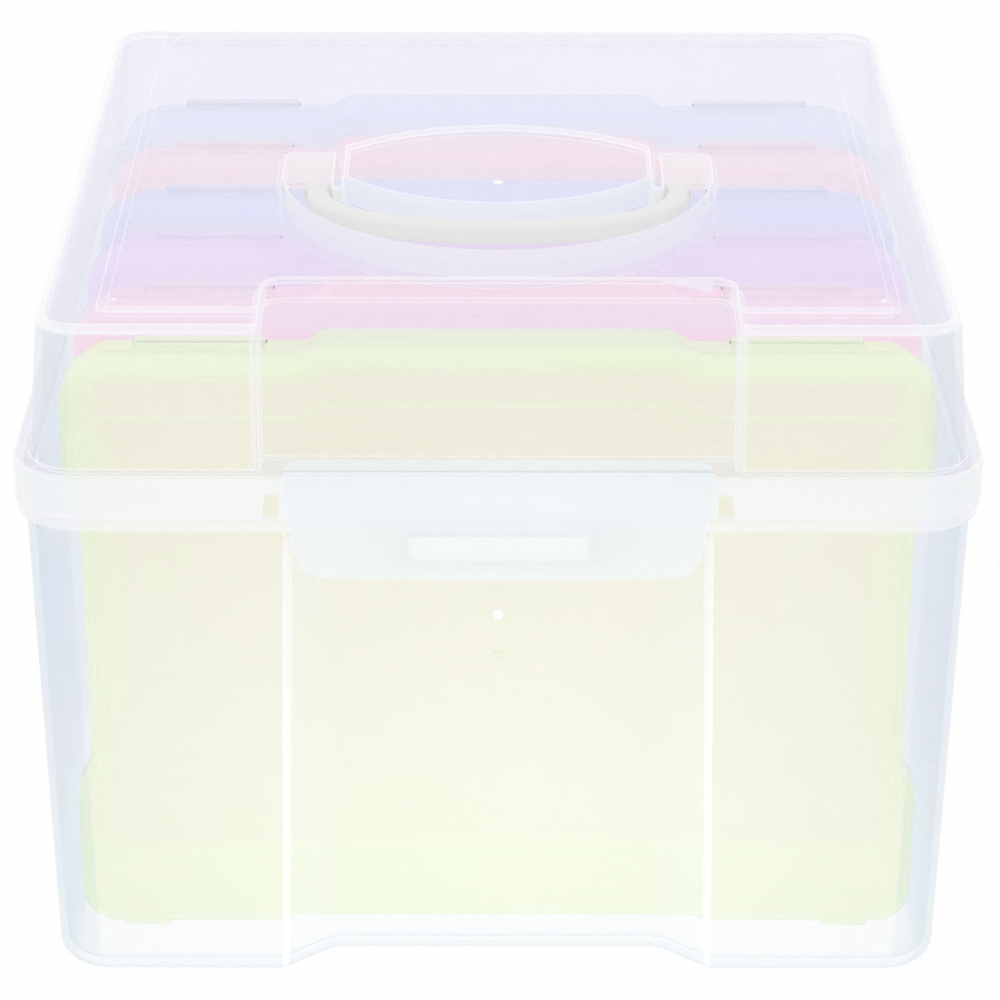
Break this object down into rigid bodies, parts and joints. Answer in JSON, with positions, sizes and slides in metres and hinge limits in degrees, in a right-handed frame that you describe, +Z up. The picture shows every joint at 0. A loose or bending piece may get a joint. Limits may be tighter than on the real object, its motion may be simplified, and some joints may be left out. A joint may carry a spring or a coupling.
{
  "type": "photo keeper case",
  "caption": "Clear carrying case with hinged lid, front latch and sunk handle, holding coloured snap shut photo cases on edge.",
  "frame": {"origin": "centre of the bin's underside, on the ground", "axes": "+Z up, +X to the right, +Y to the back; the latch is at the front, at -Y"},
  "size_m": [0.209, 0.2227, 0.1601],
  "materials": {
    "clear_bin": "clear moulded, slightly milky",
    "clear_lid": "clear moulded, slightly milky",
    "frosted_latch": "frosted",
    "grey_handle": "satin",
    "tint_1": "tinted see-through, satin",
    "tint_2": "tinted see-through, satin",
    "tint_3": "tinted see-through, satin",
    "tint_4": "tinted see-through, satin",
    "tint_5": "tinted see-through, satin",
    "tint_6": "tinted see-through, satin"
  },
  "bodies": {
    "bin": {"base_bin": "clear_bin"},
    "lid": {"lid": "clear_lid", "latch_plate": "frosted_latch"},
    "latch": {"front_latch": "frosted_latch"},
    "handle": {"carry_handle": "grey_handle"},
    "case_1": {"case_1_cover": "tint_1", "case_1_tray": "tint_1"},
    "case_2": {"case_2_cover": "tint_2", "case_2_tray": "tint_2"},
    "case_3": {"case_3_cover": "tint_3", "case_3_tray": "tint_3"},
    "case_4": {"case_4_cover": "tint_4", "case_4_tray": "tint_4"},
    "case_5": {"case_5_cover": "tint_5", "case_5_tray": "tint_5"},
    "case_6": {"case_6_cover": "tint_6", "case_6_tray": "tint_6"}
  },
  "joints": [
    {"name": "lid_hinge", "type": "hinge", "parent": "bin", "child": "lid", "pos_m": [0, 0.11064, 0.118], "axis": [-1, 0, 0], "range_deg": [0, 105]},
    {"name": "latch_hinge", "type": "hinge", "parent": "lid", "child": "latch", "pos_m": [0, -0.10859, 0.12775], "axis": [-1, 0, 0], "range_deg": [0, 105]},
    {"name": "handle_pivot", "type": "hinge", "parent": "lid", "child": "handle", "pos_m": [0, -0.0172, 0.15725], "axis": [-1, 0, 0], "range_deg": [0, 95]},
    {"name": "case_1_lift", "type": "slide", "parent": "bin", "child": "case_1", "axis": [0, 0, 1], "range_m": [0, 0.0035]},
    {"name": "case_2_lift", "type": "slide", "parent": "bin", "child": "case_2", "axis": [0, 0, 1], "range_m": [0, 0.0035]},
    {"name": "case_3_lift", "type": "slide", "parent": "bin", "child": "case_3", "axis": [0, 0, 1], "range_m": [0, 0.0035]},
    {"name": "case_4_lift", "type": "slide", "parent": "bin", "child": "case_4", "axis": [0, 0, 1], "range_m": [0, 0.0035]},
    {"name": "case_5_lift", "type": "slide", "parent": "bin", "child": "case_5", "axis": [0, 0, 1], "range_m": [0, 0.0035]},
    {"name": "case_6_lift", "type": "slide", "parent": "bin", "child": "case_6", "axis": [0, 0, 1], "range_m": [0, 0.0035]}
  ]
}
